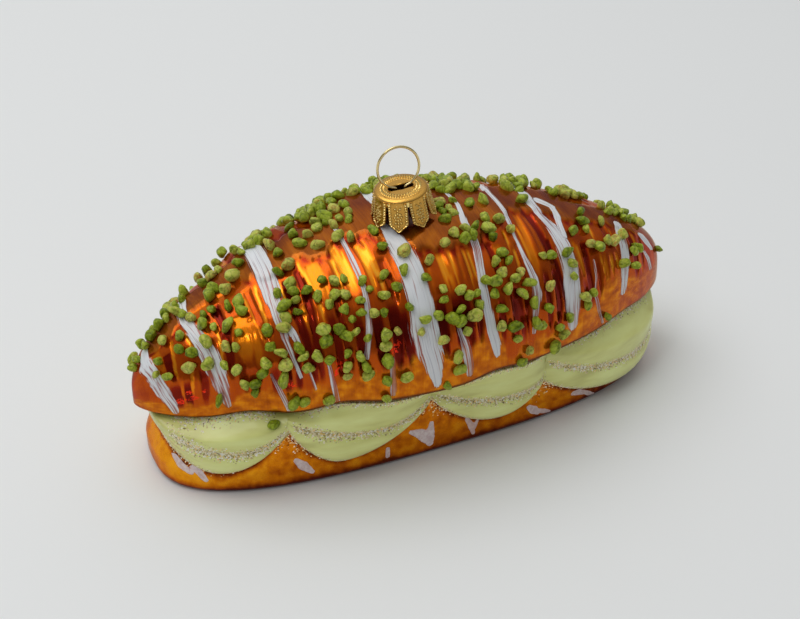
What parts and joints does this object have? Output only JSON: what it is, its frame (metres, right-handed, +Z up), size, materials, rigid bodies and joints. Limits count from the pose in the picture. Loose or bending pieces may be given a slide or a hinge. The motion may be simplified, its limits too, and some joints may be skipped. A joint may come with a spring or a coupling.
{
  "type": "filled croissant glass ornament",
  "caption": "Mould-blown glass tree ornament in the form of a filled croissant with piped cream lobes, chopped nuts and a stamped metal cap with a wire hanging ring.",
  "frame": {"origin": "centre of the flat face under the lower crust, below the middle of the croissant", "axes": "+Z up, +X along the croissant, -Y the side on which the pictured face of the filling lies"},
  "size_m": [0.125, 0.0549, 0.0654],
  "materials": {
    "amber_lacquer": "glossy amber lacquer over silvered glass",
    "cream_lacquer": "glossy opaque pistachio lacquer",
    "crust_lacquer": "glossy brown to amber lacquer over silvered glass",
    "nut_green": "glossy green granules",
    "cap_metal": "stamped sheet, gold coloured",
    "ring_wire": "drawn wire, gold coloured"
  },
  "bodies": {
    "root": {"crust_base": "amber_lacquer", "cream": "cream_lacquer", "crust_top": "crust_lacquer", "cap": "cap_metal", "hanger": "ring_wire"}
  },
  "joints": []
}
